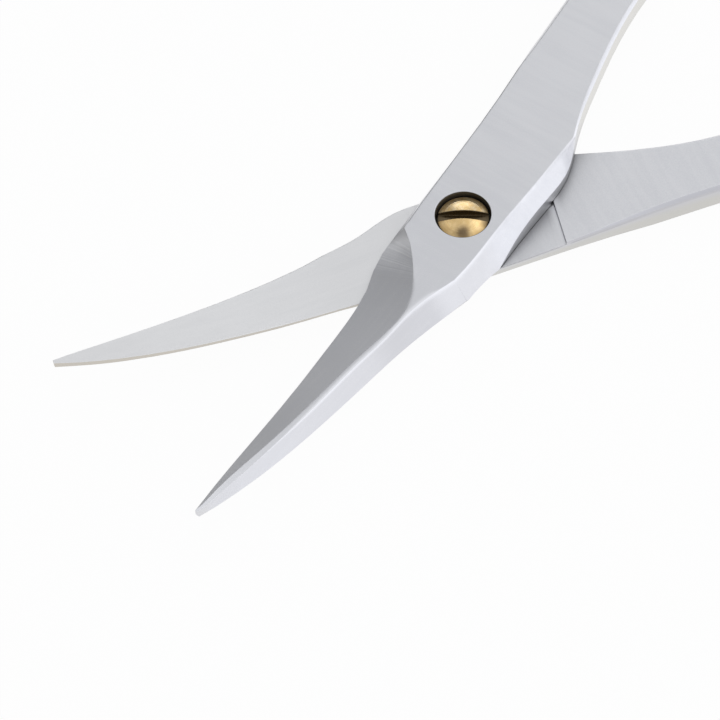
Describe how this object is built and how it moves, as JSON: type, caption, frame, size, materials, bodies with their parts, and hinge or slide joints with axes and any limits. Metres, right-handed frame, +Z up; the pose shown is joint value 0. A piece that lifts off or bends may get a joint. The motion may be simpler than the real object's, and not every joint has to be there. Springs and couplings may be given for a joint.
{
  "type": "curved cuticle scissors",
  "caption": "Fine curved cuticle scissors: two slim steel halves with ground blade facets and oval finger bows, crossed on a slotted domed brass pivot screw.",
  "frame": {"origin": "where the pivot axis meets the plane the scissors lie on, at the flush end of the screw", "axes": "+Y towards the tips along the line the blades close on, +Z up along the pivot axis, +X to the right seen from above with the tips up"},
  "size_m": [0.077, 0.0846, 0.0055],
  "materials": {
    "satin_steel": "satin, fine ground",
    "brass": "turned, polished"
  },
  "bodies": {
    "lower": {"back_half": "satin_steel", "pivot_screw": "brass"},
    "upper": {"front_half": "satin_steel"}
  },
  "joints": [
    {"name": "pivot", "type": "hinge", "parent": "lower", "child": "upper", "pos_m": [0, 0, 0.00182], "axis": [0, 0, 1], "range_deg": [-30.84, 30]}
  ]
}
